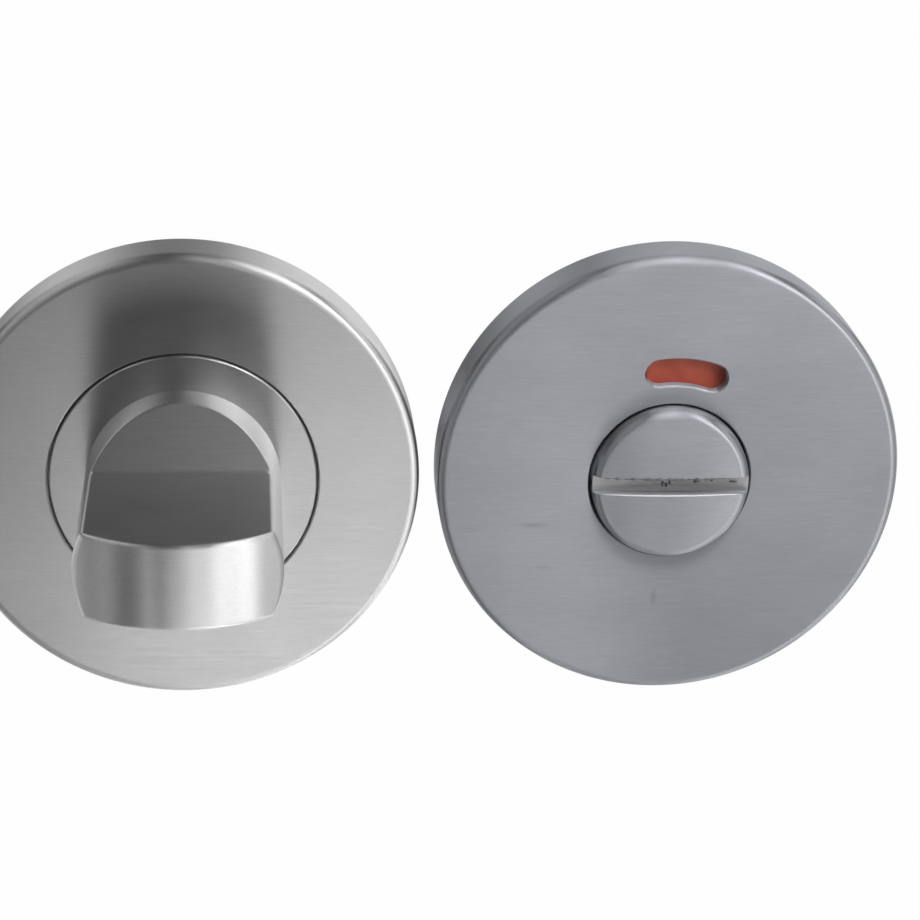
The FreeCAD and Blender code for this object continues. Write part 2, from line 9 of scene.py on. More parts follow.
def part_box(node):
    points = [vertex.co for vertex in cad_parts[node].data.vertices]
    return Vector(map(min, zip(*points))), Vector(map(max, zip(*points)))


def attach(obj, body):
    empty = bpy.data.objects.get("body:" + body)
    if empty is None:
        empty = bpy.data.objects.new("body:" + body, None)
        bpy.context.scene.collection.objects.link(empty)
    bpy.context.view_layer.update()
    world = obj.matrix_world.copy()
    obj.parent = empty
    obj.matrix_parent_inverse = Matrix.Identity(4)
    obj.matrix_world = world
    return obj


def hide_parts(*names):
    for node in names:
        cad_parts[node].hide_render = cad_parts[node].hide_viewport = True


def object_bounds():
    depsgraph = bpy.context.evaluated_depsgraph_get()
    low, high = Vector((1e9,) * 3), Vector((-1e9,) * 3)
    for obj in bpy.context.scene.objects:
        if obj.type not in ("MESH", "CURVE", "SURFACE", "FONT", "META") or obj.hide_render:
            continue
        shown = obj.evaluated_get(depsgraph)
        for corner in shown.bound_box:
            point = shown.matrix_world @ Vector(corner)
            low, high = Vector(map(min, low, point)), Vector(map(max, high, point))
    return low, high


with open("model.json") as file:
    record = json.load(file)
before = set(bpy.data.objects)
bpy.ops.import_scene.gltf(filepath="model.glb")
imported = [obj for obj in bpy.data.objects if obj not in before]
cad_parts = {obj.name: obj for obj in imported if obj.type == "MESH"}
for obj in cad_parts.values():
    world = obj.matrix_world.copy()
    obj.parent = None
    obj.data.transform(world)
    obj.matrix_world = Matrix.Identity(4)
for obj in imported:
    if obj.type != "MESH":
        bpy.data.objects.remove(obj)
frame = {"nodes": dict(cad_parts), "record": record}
cadBounds = [list(corner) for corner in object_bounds()]
nodes = frame["nodes"]
mm = 0.001
print("frame loaded:", len(nodes), "nodes")


# node helpers

def newMaterial(name):
    mat = bpy.data.materials.new(name)
    mat.use_nodes = True
    tree = mat.node_tree
    tree.nodes.clear()
    out = tree.nodes.new("ShaderNodeOutputMaterial")
    shader = tree.nodes.new("ShaderNodeBsdfPrincipled")
    tree.links.new(shader.outputs["BSDF"], out.inputs["Surface"])
    return mat, tree, shader


def addNode(tree, kind, inputs=None, **settings):
    node = tree.nodes.new("ShaderNode" + kind)
    for key, value in settings.items():
        setattr(node, key, value)
    for key, value in (inputs or {}).items():
        if isinstance(value, bpy.types.NodeSocket):
            tree.links.new(value, node.inputs[key])
        else:
            node.inputs[key].default_value = value
    return node


def mathNode(tree, operation, first, second, clamp=False):
    return addNode(tree, "Math", {0: first, 1: second}, operation=operation, use_clamp=clamp).outputs[0]


def scaled(tree, color, factor):
    return addNode(tree, "VectorMath", {0: color, "Scale": factor}, operation="SCALE").outputs["Vector"]


def mapped(tree, value, fromLow, fromHigh, low=0, high=1, smooth=False):
    ends = {"Value": value, "From Min": fromLow, "From Max": fromHigh, "To Min": low, "To Max": high}
    kind = "SMOOTHSTEP" if smooth else "LINEAR"
    return addNode(tree, "MapRange", ends, interpolation_type=kind).outputs["Result"]


def noiseAt(tree, place, scale, detail=3, roughness=0.5):
    stretched = addNode(tree, "Mapping", {"Vector": place, "Scale": scale}).outputs["Vector"]
    settings = {"Vector": stretched, "Scale": 1, "Detail": detail, "Roughness": roughness}
    return addNode(tree, "TexNoise", settings).outputs["Fac"]


noiseMiddle = (0.3, 0.7)  # noise gathers about one half, and seldom leaves this range


def spread(tree, value, low, high):
    # stretches the middle of the noise over low to high
    return mapped(tree, value, *noiseMiddle, low, high)


def softSpot(tree, place, middle):
    # 1 at the middle, fading out about one unit away
    away = addNode(tree, "VectorMath", {0: place, 1: middle}, operation="DISTANCE").outputs["Value"]
    return mathNode(tree, "POWER", math.exp(-1), mathNode(tree, "MULTIPLY", away, away))


# brushed steel: fine scratches along X, and a highlight that spreads across them

brushingWay = (1, 0, 0.04)  # the slight tilt keeps the tangent defined on faces that look along X


def brushingTangent(tree):
    along = addNode(
        tree, "VectorTransform", {"Vector": brushingWay},
        vector_type="VECTOR", convert_from="OBJECT", convert_to="WORLD",
    ).outputs["Vector"]
    normal = addNode(tree, "NewGeometry").outputs["Normal"]
    return addNode(tree, "VectorMath", {0: normal, 1: along}, operation="CROSS_PRODUCT").outputs["Vector"]


def brushedSteel(name, look):
    mat, tree, shader = newMaterial(name)
    place = addNode(tree, "TexCoord").outputs["Object"]
    fine = noiseAt(tree, place, look["fineScale"], detail=4, roughness=0.6)
    long = noiseAt(tree, place, look["longScale"])
    cloud = noiseAt(tree, place, look["cloudScale"], detail=2)
    fineGrain = mathNode(tree, "MULTIPLY", fine, look["fineShare"])
    longGrain = mathNode(tree, "MULTIPLY", long, 1 - look["fineShare"])
    grain = mathNode(tree, "ADD", fineGrain, longGrain)
    grainShade = spread(tree, grain, *look["grainShade"])
    cloudShade = spread(tree, cloud, *look["cloudShade"])
    shade = mathNode(tree, "MULTIPLY", grainShade, cloudShade)
    for (x, y, z), (wide, deep, tall), depth in look["smudges"]:
        squeeze = {0: place, 1: (1 / wide, 1 / deep, 1 / tall)}
        squeezed = addNode(tree, "VectorMath", squeeze, operation="MULTIPLY").outputs["Vector"]
        spot = softSpot(tree, squeezed, (x / wide, y / deep, z / tall))
        shade = mathNode(tree, "MULTIPLY", shade, mapped(tree, spot, 0, 1, 1, 1 - depth))
    tree.links.new(scaled(tree, look["tint"], shade), shader.inputs["Base Color"])
    tree.links.new(spread(tree, long, *look["rough"]), shader.inputs["Roughness"])
    bump = addNode(tree, "Bump", {"Strength": look["bump"], "Distance": look["bumpDepth"], "Height": fine})
    tree.links.new(bump.outputs["Normal"], shader.inputs["Normal"])
    tree.links.new(brushingTangent(tree), shader.inputs["Tangent"])
    shader.inputs["Metallic"].default_value = 1
    shader.inputs["Anisotropic"].default_value = look["anisotropy"]
    return mat


turnSteelLook = {
    "tint": (0.62, 0.62, 0.62),
    "fineScale": (450, 6500, 6500),
    "longScale": (140, 3000, 3000),
    "cloudScale": (60, 110, 110),
    "fineShare": 0.6,  # of the grain, the rest is long
    "grainShade": (0.92, 1.08),
    "cloudShade": (0.98, 1.02),
    "rough": (0.37, 0.43),
    "bump": 0.15,
    "bumpDepth": 0.02 * mm,
    "anisotropy": 1,
    "smudges": [],
}
# painted shade: the release half is the same satin steel as the turn, and its tint is darkened to stand for
# the dimmer light that falls on it; its faint stains are listed below
releaseShadeAndStainsLook = dict(
    turnSteelLook,
    tint=(0.355, 0.362, 0.388),
    cloudShade=(0.95, 1.05),
    # place, reach and depth of each faint stain on the release's face
    smudges=[
        ((38.9 * mm, -6 * mm, -5.4 * mm), (1.3 * mm, 1 * mm, 0.3 * mm), 0.22),
        ((53 * mm, -6 * mm, -14.4 * mm), (0.3 * mm, 1 * mm, 0.8 * mm), 0.2),
        ((40.2 * mm, -6 * mm, -10.6 * mm), (0.9 * mm, 1 * mm, 0.2 * mm), 0.12),
    ],
)
# the slot's floor is bare from the cutter and rough every way; its tint is raised above the face's as
# painted light, lifting the floor where the slot's walls shade it
milledPaintedLightLook = dict(
    releaseShadeAndStainsLook,
    tint=(0.49, 0.485, 0.49),
    rough=(0.45, 0.6),
    anisotropy=0.3,
    smudges=[],
)
# painted shade on the torn upper lip and its crumbs, darkened to stand for the shaded upper wall of the
# slot, and a painted highlight on the clean lower lip, brightened to stand for the light line along its
# edge
burrPaintedShadeLook = dict(milledPaintedLightLook, tint=(0.16, 0.16, 0.165))
lowerLipPaintedHighlightLook = dict(milledPaintedLightLook, tint=(0.7, 0.7, 0.71))


# plain finishes: two tones mingled by noise, with a little relief

def plainFinish(name, look):
    mat, tree, shader = newMaterial(name)
    place = addNode(tree, "TexCoord").outputs["Object"]
    mottle = noiseAt(tree, place, look["mottleScale"])
    grit = noiseAt(tree, place, look["gritScale"], detail=2)
    tones = {"Fac": spread(tree, mottle, 0, 1), "Color1": (*look["dark"], 1), "Color2": (*look["light"], 1)}
    color = addNode(tree, "MixRGB", tones).outputs["Color"]
    tree.links.new(color, shader.inputs["Base Color"])
    tree.links.new(spread(tree, grit, *look["rough"]), shader.inputs["Roughness"])
    bump = addNode(tree, "Bump", {"Strength": look["bump"], "Distance": look["bumpDepth"], "Height": grit})
    tree.links.new(bump.outputs["Normal"], shader.inputs["Normal"])
    shader.inputs["Metallic"].default_value = look.get("metallic", 0)
    return mat


redFieldLook = {
    "dark": (0.42, 0.075, 0.045),
    "light": (0.52, 0.105, 0.06),
    "mottleScale": (500, 500, 500),
    "gritScale": (3000, 3000, 3000),
    "rough": (0.34, 0.46),
    "bump": 0.2,
    "bumpDepth": 0.01 * mm,
}
whiteFieldLook = dict(redFieldLook, dark=(0.8, 0.8, 0.77), light=(0.88, 0.88, 0.85))
zincLook = {
    "dark": (0.4, 0.41, 0.43),
    "light": (0.56, 0.57, 0.59),
    "mottleScale": (900, 900, 900),
    "gritScale": (2600, 2600, 2600),
    "rough": (0.45, 0.65),
    "bump": 0.5,
    "bumpDepth": 0.05 * mm,
    "metallic": 1,
}
platedLook = {
    "dark": (0.6, 0.61, 0.62),
    "light": (0.74, 0.74, 0.71),
    "mottleScale": (350, 350, 350),
    "gritScale": (1800, 5000, 1800),
    "rough": (0.24, 0.36),
    "bump": 0.2,
    "bumpDepth": 0.01 * mm,
    "metallic": 1,
}
# painted shade: the indicator plate, whose own finish is plated steel, is made black so that the narrow gap
# round the disc stays dark
gapPaintedShadeLook = dict(
    platedLook,
    dark=(0.02, 0.02, 0.02),
    light=(0.045, 0.045, 0.045),
    rough=(0.5, 0.7),
    metallic=0,
)
springLook = dict(platedLook, dark=(0.1, 0.095, 0.095), light=(0.2, 0.19, 0.19), rough=(0.36, 0.5))
acetalLook = {
    "dark": (0.78, 0.78, 0.74),
    "light": (0.86, 0.86, 0.82),
    "mottleScale": (200, 200, 200),
    "gritScale": (3500, 3500, 3500),
    "rough": (0.38, 0.5),
    "bump": 0.15,
    "bumpDepth": 0.01 * mm,
}

finishes = {
    "turn_satin_steel": brushedSteel("turnSatinSteel", turnSteelLook),
    # painted shade: the release's darker tint stands for its dimmer light
    "release_satin_steel": brushedSteel("releaseSteelShadeAndStains", releaseShadeAndStainsLook),
    "zinc_casting": plainFinish("zincCasting", zincLook),
    "plated_steel": plainFinish("platedSteel", platedLook),
    "spring_steel": plainFinish("springSteel", springLook),
    "acetal": plainFinish("acetal", acetalLook),
    "red_field": plainFinish("redField", redFieldLook),
    "white_field": plainFinish("whiteField", whiteFieldLook),
}
for row in frame["record"]["subparts"]:
    mesh = nodes[row["node"]].data
    mesh.materials.clear()
    mesh.materials.append(finishes[row["material_slot"]])
# painted shade: the black plate darkens the gap round the disc
nodes["release_indicator"].data.materials[0] = plainFinish("indicatorPlatePaintedShade", gapPaintedShadeLook)
print("finishes set:", len(finishes) + 1)


# mesh helpers

meshLook = {
    "weld": 0.0005 * mm,  # points nearer than this become one
    "sharp": math.radians(35),
    "hair": 0.01 * mm,  # moves a limit off the plane that faces lie on
    "arcRoom": 0.45,  # share of the shorter side that a rounded corner may take
    "arcGuard": 1.1,  # guard points stand this far out, as a share of the arc's reach
    "straight": 0.001,  # corners that turn less than this, in radians, get no arc
}


def newPiece(name, work, slot):
    mesh = bpy.data.meshes.new(name)
    work.to_mesh(mesh)
    work.free()
    mesh.materials.clear()
    mesh.materials.append(finishes[slot])
    piece = bpy.data.objects.new(name, mesh)
    bpy.context.scene.collection.objects.link(piece)
    return piece


def settle(work):
    # one skin with outward faces, smooth but for its sharp corners
    bmesh.ops.remove_doubles(work, verts=work.verts, dist=meshLook["weld"])
    bmesh.ops.dissolve_degenerate(work, edges=work.edges, dist=meshLook["weld"])
    bmesh.ops.recalc_face_normals(work, faces=work.faces)
    for face in work.faces:
        face.smooth = True


def skin(work, rows, closed=False):
    # faces between each row of points and the next
    for first, second in zip(rows, rows[1:]):
        count = len(first) if closed else len(first) - 1
        for here in range(count):
            after = (here + 1) % len(first)
            work.faces.new((first[here], second[here], second[after], first[after]))


def addLathe(work, profile, axisX, sides, ring=False):
    # profile points are (radius, y), and ring closes the profile on itself
    angles = [math.tau * side / sides for side in range(sides)]
    rows = [
        [work.verts.new((axisX + radius * math.sin(a), y, radius * math.cos(a))) for a in angles]
        for radius, y in profile
    ]
    skin(work, rows + rows[:1] if ring else rows, closed=True)


def roundedPath(corners, steps):
    # corners are (a, b, radius): a radius turns the corner into an arc with a guard point at each side
    path = []
    for index, (a, b, radius) in enumerate(corners):
        here = Vector((a, b))
        if not radius:
            path.append(here)
            continue
        before = Vector(corners[index - 1][:2]) - here
        after = Vector(corners[index + 1][:2]) - here
        room = meshLook["arcRoom"] * min(before.length, after.length)
        half = before.angle(after, math.pi) / 2 if room > 0 else math.pi / 2
        reach = min(radius / math.tan(half), room)
        start = before.normalized() * reach
        end = after.normalized() * reach
        path.append(here + start * meshLook["arcGuard"])
        turn = math.pi - 2 * half
        if turn > meshLook["straight"] and reach > 0:
            centre = (start + end) / (2 * math.cos(half) ** 2)
            for step in range(steps + 1):
                share = step / steps
                first = math.sin((1 - share) * turn) / math.sin(turn)
                second = math.sin(share * turn) / math.sin(turn)
                path.append(here + centre + (start - centre) * first + (end - centre) * second)
        else:
            path.extend([here] * (steps + 1))
        path.append(here + end * meshLook["arcGuard"])
    return path


def cutFrom(piece, cutterWork):
    cutterMesh = bpy.data.meshes.new("cutter")
    bmesh.ops.recalc_face_normals(cutterWork, faces=cutterWork.faces)
    cutterWork.to_mesh(cutterMesh)
    cutterWork.free()
    cutter = bpy.data.objects.new("cutter", cutterMesh)
    bpy.context.scene.collection.objects.link(cutter)
    cut = piece.modifiers.new("cut", "BOOLEAN")
    cut.object = cutter
    cut.operation = "DIFFERENCE"
    cut.solver = "EXACT"
    made = bpy.data.meshes.new_from_object(piece.evaluated_get(bpy.context.evaluated_depsgraph_get()))
    piece.modifiers.clear()
    made.name = piece.name
    piece.data = made
    bpy.data.objects.remove(cutter)
    bpy.data.meshes.remove(cutterMesh)


def sharpen(piece):
    # faces taken over from the frame lose their stored normals, so one rule shades the whole piece
    stored = piece.data.attributes.get("custom_normal")
    if stored:
        piece.data.attributes.remove(stored)
    piece.data.set_sharp_from_angle(angle=meshLook["sharp"])


def cadBack(node, kept):
    # a copy of a frame node's mesh with only the faces that the test keeps
    work = bmesh.new()
    work.from_mesh(nodes[node].data)
    dropped = [face for face in work.faces if not kept(face.calc_center_median())]
    bmesh.ops.delete(work, geom=dropped, context="FACES")
    return work


# rose covers: turned cups with a rounded rim

coverLook = {
    "wall": 1.2 * mm,
    "rimRadius": 1.0 * mm,
    "bevel": 0.12 * mm,
    "gap": 0.3 * mm,
    "sides": 256,
    "rimSteps": 8,
}


def makeCover(name, node, holeRadius, slot):
    low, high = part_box(node)
    outer = (high[0] - low[0]) / 2
    face = low[1]
    inner = outer - coverLook["wall"]
    inside = face + coverLook["wall"]
    profile = roundedPath(
        [
            (outer, high[1], 0),
            (outer, face, coverLook["rimRadius"]),
            (holeRadius + coverLook["bevel"], face, 0),
            (holeRadius, face + coverLook["bevel"], 0),
            (holeRadius, inside, 0),
            (inner, inside, 0),
            (inner, high[1], 0),
        ],
        coverLook["rimSteps"],
    )
    work = bmesh.new()
    addLathe(work, profile, (low[0] + high[0]) / 2, coverLook["sides"], ring=True)
    settle(work)
    cover = newPiece(name, work, slot)
    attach(cover, "roses")
    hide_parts(node)
    return cover


knobLow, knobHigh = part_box("turn_knob")
discLow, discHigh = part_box("release_disc")
flangeRadius = (knobHigh[0] - knobLow[0]) / 2
discRadius = (discHigh[0] - discLow[0]) / 2
releaseX = (discHigh[0] + discLow[0]) / 2
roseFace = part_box("turn_cover")[0][1]
turnHole = flangeRadius + coverLook["gap"]
releaseHole = discRadius + coverLook["gap"]
turnCover = makeCover("turnCover", "turn_cover", turnHole, "turn_satin_steel")
releaseCover = makeCover("releaseCover", "release_cover", releaseHole, "release_satin_steel")

# the window is a round-ended slot along a circle, bevelled at the face
windowLook = {
    "radius": 12.8 * mm,
    "halfWidth": 1.55 * mm,
    "start": math.radians(-8),
    "end": math.radians(19),
    "bevel": 0.18 * mm,
    "beyond": 0.5 * mm,  # how far the cutter passes both faces of the cover
    "steps": 24,
}


def windowOutline(grow):
    steps = windowLook["steps"]
    half = windowLook["halfWidth"] + grow
    start, end = windowLook["start"], windowLook["end"]
    points = []
    for step in range(steps + 1):
        clock = start + (end - start) * step / steps
        points.append((windowLook["radius"] + half, clock, 0))
    for step in range(1, steps):
        points.append((windowLook["radius"], end, math.pi * step / steps))
    for step in range(steps + 1):
        clock = end + (start - end) * step / steps
        points.append((windowLook["radius"] - half, clock, 0))
    for step in range(1, steps):
        points.append((windowLook["radius"], start, math.pi + math.pi * step / steps))
    outline = []
    for radius, clock, turn in points:
        x = radius * math.sin(clock)
        z = radius * math.cos(clock)
        if turn:
            x += half * math.sin(clock + turn)
            z += half * math.cos(clock + turn)
        outline.append((releaseX + x, z))
    return outline


windowWork = bmesh.new()
beyond = windowLook["beyond"]
windowRows = [
    [windowWork.verts.new((x, y, z)) for x, z in windowOutline(grow)]
    for y, grow in (
        (roseFace - beyond, windowLook["bevel"] + beyond),
        (roseFace + windowLook["bevel"], 0),
        (roseFace + coverLook["wall"] + beyond, 0),
    )
]
skin(windowWork, windowRows, closed=True)
windowWork.faces.new(windowRows[0])
windowWork.faces.new(windowRows[-1])
cutFrom(releaseCover, windowWork)
for cover in (turnCover, releaseCover):
    sharpen(cover)
    print("cover turned:", cover.name, len(cover.data.polygons), "faces")


# thumb turn: a round neck that two ramps bring down to a flat blade with a barrel tip

knobLook = {
    "radius": 10.7 * mm,
    "halfBlade": 4.7 * mm,
    "step": 3.6 * mm,
    "rampLength": 5.4 * mm,
    "rootRadius": 1.0 * mm,
    "edgeRadius": 0.5 * mm,
    "tipRadius": 16 * mm,
    "tipEdge": 0.45 * mm,
    "flangeBevel": 0.12 * mm,
    "flangeBack": -3.65 * mm,
    "flatShare": 0.99,  # the flat's points keep clear of its rounded edges
    "tipGuard": 1.15,  # guard row before the tip's edge, as a share of its radius
    "tipInner": 0.97,  # guard row inside the tip's edge, as a share of the height
    "neckShare": 0.98,  # the flange's face starts under the neck, at this share of its radius
    "backStart": 0.8 * mm,  # faces behind this depth and inside this share of the flange stay the frame's
    "backShare": 0.975,
    "sideSteps": 22,
    "edgeSteps": 6,
    "flatSteps": 56,
    "sides": 256,
}


def bladeSection():
    # upper half of the blade seen along its length: (x, z) with the way that each point faces
    radius, edge = knobLook["radius"], knobLook["edgeRadius"]
    height = knobLook["halfBlade"] - edge
    corner = math.sqrt((radius - edge) ** 2 - height ** 2)
    rise = math.atan2(height, corner)
    half = []
    for step in range(knobLook["sideSteps"]):
        angle = rise * step / knobLook["sideSteps"]
        half.append((radius * math.cos(angle), radius * math.sin(angle), angle))
    for step in range(knobLook["edgeSteps"] + 1):
        angle = rise + (math.pi / 2 - rise) * step / knobLook["edgeSteps"]
        half.append((corner + edge * math.cos(angle), height + edge * math.sin(angle), angle))
    for step in range(knobLook["flatSteps"] // 2):
        reach = corner * knobLook["flatShare"] * (1 - 2 * step / knobLook["flatSteps"])
        half.append((reach, knobLook["halfBlade"], math.pi / 2))
    middle = [(0, knobLook["halfBlade"], math.pi / 2)]
    return half + middle + [(-x, z, math.pi - angle) for x, z, angle in reversed(half)]


def tipAt(x):
    return knobLow[1] + knobLook["tipRadius"] - math.sqrt(knobLook["tipRadius"] ** 2 - x ** 2)


def rampAt(z):
    # depth at which the ramp has come down to a height
    height = max(z, knobLook["halfBlade"])
    fall = (knobLook["radius"] - height) / (knobLook["radius"] - knobLook["halfBlade"])
    return roseFace - knobLook["step"] - knobLook["rampLength"] * fall


def knobColumn(x, z, facing):
    # along the neck, down the ramp, out to the tip's rounded edge and across the tip to mid height
    neck = math.sqrt(max(knobLook["radius"] ** 2 - x ** 2, 0))
    edge = knobLook["tipEdge"]
    path = roundedPath(
        [
            (roseFace, neck, 0),
            (rampAt(neck), neck, knobLook["edgeRadius"]),
            (rampAt(z), z, knobLook["rootRadius"]),
            (tipAt(x) + edge * knobLook["tipGuard"], z, 0),
        ],
        knobLook["edgeSteps"],
    )
    column = [(x, y, height) for y, height in path]
    for step in range(knobLook["edgeSteps"] + 1):
        angle = math.pi / 2 * step / knobLook["edgeSteps"]
        inset = edge * (1 - math.cos(angle))
        tipX = x - inset * math.cos(facing)
        tipZ = z - inset * math.sin(facing)
        column.append((tipX, tipAt(tipX) + edge * (1 - math.sin(angle)), tipZ))
    column.append((tipX, tipAt(tipX), tipZ * knobLook["tipInner"]))
    column.append((tipX, tipAt(tipX), 0))
    return column


def makeKnob():
    def behindFlange(centre):
        deep = centre.y > roseFace + knobLook["backStart"]
        return deep and math.hypot(centre.x, centre.z) < flangeRadius * knobLook["backShare"]

    work = cadBack("turn_knob", behindFlange)
    backFaces = len(work.faces)
    columns = [knobColumn(*point) for point in bladeSection()]
    for side in (1, -1):
        skin(work, [[work.verts.new((x, y, z * side)) for x, y, z in column] for column in columns])
    addLathe(
        work,
        [
            (knobLook["radius"] * knobLook["neckShare"], roseFace),
            (flangeRadius - knobLook["flangeBevel"], roseFace),
            (flangeRadius, roseFace + knobLook["flangeBevel"]),
            (flangeRadius, knobLook["flangeBack"]),
        ],
        0,
        knobLook["sides"],
    )
    settle(work)
    print("thumb turn shaped:", len(work.faces), "faces,", backFaces, "from the frame")
    return newPiece("thumbTurn", work, "turn_satin_steel")


thumbTurn = makeKnob()
sharpen(thumbTurn)
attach(thumbTurn, "turn")
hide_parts("turn_knob")


# coin disc: a domed head with a slot across it, and a hub behind

discLook = {
    "rise": 2.2 * mm,
    "dome": 0.5 * mm,
    "edgeRadius": 1.1 * mm,
    "back": -4.45 * mm,
    "slotHalf": 1.0 * mm,
    "slotDepth": 1.5 * mm,
    "cutterReach": 3,  # length of the slot's cutter, in radii of the disc
    "domeSteps": 14,
    "edgeSteps": 8,
    "sides": 256,
}
discCrown = roseFace - discLook["rise"]
slotFloor = discCrown + discLook["slotDepth"]
domeReach = discRadius - discLook["edgeRadius"]
domeRadius = (domeReach ** 2 + discLook["dome"] ** 2) / (2 * discLook["dome"])


def domeAt(reach):
    return discCrown + domeRadius - math.sqrt(domeRadius ** 2 - reach ** 2)


def makeDisc():
    profile = []
    for step in range(discLook["domeSteps"] + 1):
        reach = domeReach * step / discLook["domeSteps"]
        profile.append((reach, domeAt(reach)))
    edge = discLook["edgeRadius"]
    for step in range(1, discLook["edgeSteps"] + 1):
        angle = math.pi / 2 * step / discLook["edgeSteps"]
        reach = domeReach + edge * math.sin(angle)
        profile.append((reach, domeAt(domeReach) + edge * (1 - math.cos(angle))))
    profile += [(discRadius, discLook["back"]), (0, discLook["back"])]
    head = bmesh.new()
    addLathe(head, profile, releaseX, discLook["sides"])
    settle(head)
    disc = newPiece("coinDisc", head, "release_satin_steel")
    slot = bmesh.new()
    bmesh.ops.create_cube(slot, size=1)
    for vert in slot.verts:
        y = slotFloor if vert.co.y > 0 else discCrown - discLook["rise"]
        x = releaseX + vert.co.x * discRadius * discLook["cutterReach"]
        vert.co = (x, y, vert.co.z * 2 * discLook["slotHalf"])
    cutFrom(disc, slot)
    work = cadBack("release_disc", lambda centre: centre.y > discLook["back"] + meshLook["hair"])
    work.from_mesh(disc.data)
    work.to_mesh(disc.data)
    work.free()
    return disc


coinDisc = makeDisc()
sharpen(coinDisc)
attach(coinDisc, "release")
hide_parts("release_disc")
print("coin disc turned:", len(coinDisc.data.polygons), "faces")


# fixing bolts: the head and neck of the frame's own bolts, with a cut thread beyond the door face

boltLook = {
    "major": 1.99 * mm,
    "root": 1.6 * mm,
    "pitch": 0.7 * mm,
    "bevel": 0.5 * mm,
    "sides": 28,
    # share of the pitch, share of the thread's height
    "profile": [(0, 0), (0.32, 1), (0.45, 1), (0.77, 0)],
}


def addThread(work, axisX, length):
    rows = []
    for turn in range(-1, math.ceil(length / boltLook["pitch"]) + 1):
        for along, height in boltLook["profile"]:
            ring = []
            for side in range(boltLook["sides"] + 1):
                share = side / boltLook["sides"]
                depth = min(max((turn + along + share) * boltLook["pitch"], 0), length)
                crest = boltLook["root"] + (boltLook["major"] - boltLook["root"]) * height
                radius = min(crest, boltLook["major"] - max(0, depth - length + boltLook["bevel"]))
                angle = share * math.tau
                x = axisX + radius * math.cos(angle)
                ring.append(work.verts.new((x, depth, radius * math.sin(angle))))
            rows.append(ring)
    skin(work, rows)
    tip = work.verts.new((axisX, length, 0))
    for here, after in zip(rows[-1], rows[-1][1:]):
        work.faces.new((here, tip, after))


boltLow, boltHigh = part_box("turn_fixing_bolts")
headRadius = (boltHigh[2] - boltLow[2]) / 2
boltWork = bmesh.new()
boltWork.from_mesh(nodes["turn_fixing_bolts"].data)
plainShanks = [face for face in boltWork.faces if face.calc_center_median().y > meshLook["hair"]]
bmesh.ops.delete(boltWork, geom=plainShanks, context="FACES")
for axisX in (boltLow[0] + headRadius, boltHigh[0] - headRadius):
    addThread(boltWork, axisX, boltHigh[1])
settle(boltWork)
threadedBolts = newPiece("threadedBolts", boltWork, "plated_steel")
sharpen(threadedBolts)
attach(threadedBolts, "roses")
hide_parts("turn_fixing_bolts")
print("bolts threaded:", len(threadedBolts.data.polygons), "faces")


# coin slot: a rough floor, a torn lip with crumbs of metal and a clean lip, as the cutter left them

slotLook = {
    "floorRelief": 0.05 * mm,
    "floorMean": 0.6,  # mean height and swing of the floor, as shares of its relief
    "floorSwing": 0.5,
    "floorWaves": (1.3, 7),  # waves and grit: how many in a millimetre, along and across
    "floorGrit": (6, 5),
    "gritShare": 0.6,
    "floorLength": 0.997,  # share of the disc's radius and of the slot's width
    "floorWidth": 0.995,
    "floorColumns": 180,
    "floorRows": 18,
    # each lip: upper or lower edge, reach along it, thickness and raggedness
    "tornLip": {"edge": 1, "start": -7.8 * mm, "end": 7.8 * mm, "radius": 0.2 * mm, "tears": 0.6},
    "cleanLip": {"edge": -1, "start": -7.8 * mm, "end": 7.8 * mm, "radius": 0.2 * mm, "tears": 0},
    "lipSink": 0.03 * mm,
    "lipInset": 0.02 * mm,
    "lipStretch": 1.3,  # width to height
    "lipMean": 0.45,  # mean and least thickness, as shares of the radius
    "lipLeast": 0.05,
    "lipTaper": 0.4,  # the lower, the blunter its ends
    "longTears": (0.9, 1.7),  # height, and how many in a millimetre
    "shortTears": (0.5, 8),
    "lipSteps": 220,
    "lipSides": 8,
    "crumbLumps": 0.45,  # height and pitch of the lumps on a crumb
    "crumbPitch": 1.6,
    "crumbShift": 3,  # keeps neighbours from looking alike
    "crumbRise": 0.06 * mm,
    "onLip": 0.8,  # crumbs further across than this lie on the lip
    # millimetres from the slot's middle along it and across it, then half sizes along, across and outward
    "crumbs": [
        (-2.7, 0.98, 0.62, 0.2, 0.09),
        (-2.2, 0.9, 0.3, 0.26, 0.08),
        (-0.9, -0.1, 0.16, 0.34, 0.2),
        (-0.5, -0.2, 0.12, 0.3, 0.16),
        (-0.1, 0.05, 0.14, 0.22, 0.14),
        (2.9, 0.2, 0.36, 0.18, 0.18),
        (4.6, 0.3, 0.2, 0.14, 0.12),
        (7.0, 0.15, 0.5, 0.12, 0.14),
    ],
}


def bumpiness(x, z, stretchX, stretchZ, layer):
    return noise.noise(Vector((x / mm * stretchX, z / mm * stretchZ, layer)))


def slotPiece(name, work, finish, look):
    for face in work.faces:
        face.smooth = True
    piece = newPiece(name, work, "release_satin_steel")
    piece.data.materials[0] = brushedSteel(finish, look)
    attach(piece, "release")
    print("coin slot:", name, len(piece.data.polygons), "faces")


